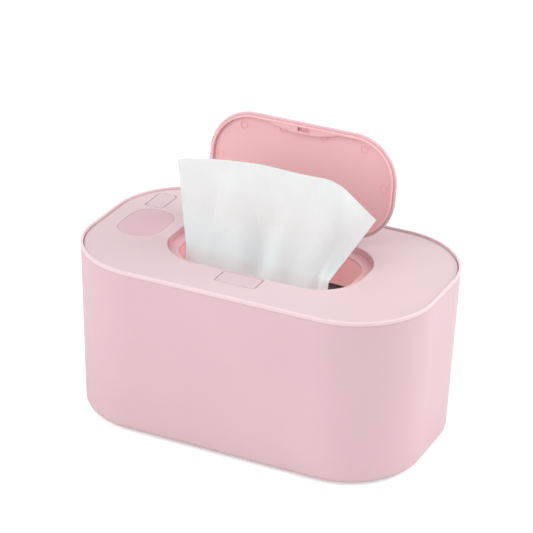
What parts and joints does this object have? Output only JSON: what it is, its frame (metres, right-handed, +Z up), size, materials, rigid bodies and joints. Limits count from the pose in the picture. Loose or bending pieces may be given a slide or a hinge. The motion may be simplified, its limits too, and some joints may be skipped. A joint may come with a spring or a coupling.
{
  "type": "baby wipe warmer",
  "caption": "Rounded wipe warmer bin with a heated lift-off cover, a sprung pop-up lid with a button latch, a display window, a power key and a wipe drawn up through the mouth.",
  "frame": {"origin": "middle of the bin's outline on the table, at the bottom of the feet", "axes": "+X along the long side, to the right seen from the front; +Y to the back; +Z up. The front, with the latch button, faces -Y"},
  "size_m": [0.206, 0.124, 0.1603],
  "materials": {
    "shell_pink": "satin",
    "panel_pink": "satin",
    "lid_pink": "satin",
    "liner_pink": "satin",
    "key_pink": "satin",
    "window_pink": "gloss",
    "inner_pink": "satin",
    "tank_white": "satin",
    "foam": "matt",
    "wipe_white": "matt",
    "silicone": "matt",
    "foot_rubber": "matt",
    "steel": "satin",
    "spring_steel": "satin",
    "aluminium": "satin",
    "film": "satin",
    "board_green": "satin",
    "dark_plastic": "satin",
    "white_plastic": "satin",
    "ceramic": "gloss",
    "lead_red": "satin",
    "lead_black": "satin",
    "lead_yellow": "satin"
  },
  "bodies": {
    "housing": {"outer_shell": "shell_pink", "base_cover": "inner_pink", "base_screws": "steel", "foot_front_left": "foot_rubber", "foot_front_right": "foot_rubber", "foot_rear_left": "foot_rubber", "foot_rear_right": "foot_rubber", "inner_tank": "tank_white", "insulation_sleeve": "foam", "wipe_stack": "wipe_white"},
    "cover_unit": {"top_panel": "panel_pink", "under_cover": "inner_pink", "cover_screws": "steel", "cover_gasket": "silicone", "mouth_lip": "silicone", "heater_plate": "aluminium", "heating_film": "film", "thermal_fuse": "ceramic", "temperature_sensor": "dark_plastic", "heat_shield": "foam", "control_board": "board_green", "board_screws": "steel", "display_module": "dark_plastic", "display_window": "window_pink", "tact_switch": "dark_plastic", "inlet_board": "board_green", "power_inlet": "steel", "power_leads": "lead_black", "heater_leads": "lead_red", "sensor_leads": "lead_yellow", "hinge_pin": "steel", "torsion_spring": "spring_steel", "latch_spring": "spring_steel", "wipe_sheet": "wipe_white"},
    "lid": {"lid_outer": "lid_pink", "lid_inner": "liner_pink"},
    "latch_button": {"latch_button": "key_pink"},
    "latch_slider": {"latch_slider": "key_pink"},
    "power_key": {"power_key": "key_pink"}
  },
  "joints": [
    {"name": "cover_lift", "type": "slide", "parent": "housing", "child": "cover_unit", "axis": [0, 0, 1], "range_m": [0, 0.08], "deforming": ["wipe_sheet"]},
    {"name": "lid_hinge", "type": "hinge", "parent": "cover_unit", "child": "lid", "pos_m": [0, 0.0343, 0.0961], "axis": [1, 0, 0], "range_deg": [0, 96], "stiffness_Nm_per_rad": 0.01, "springref_deg": -28.65, "deforming": ["torsion_spring", "wipe_sheet"]},
    {"name": "latch_press", "type": "slide", "parent": "cover_unit", "child": "latch_button", "axis": [0, 0, -1], "range_m": [0, 0.001], "stiffness_N_per_m": 400, "springref_m": -0.002},
    {"name": "latch_slide", "type": "slide", "parent": "cover_unit", "child": "latch_slider", "axis": [0, -1, 0], "range_m": [0, 0.001], "deforming": ["latch_spring"]},
    {"name": "key_press", "type": "slide", "parent": "cover_unit", "child": "power_key", "axis": [0, 0, -1], "range_m": [0, 0.0005], "stiffness_N_per_m": 600, "springref_m": -0.001}
  ],
  "couplings": [
    {"joint": "latch_slide", "follows": "latch_press", "ratio": 1}
  ]
}
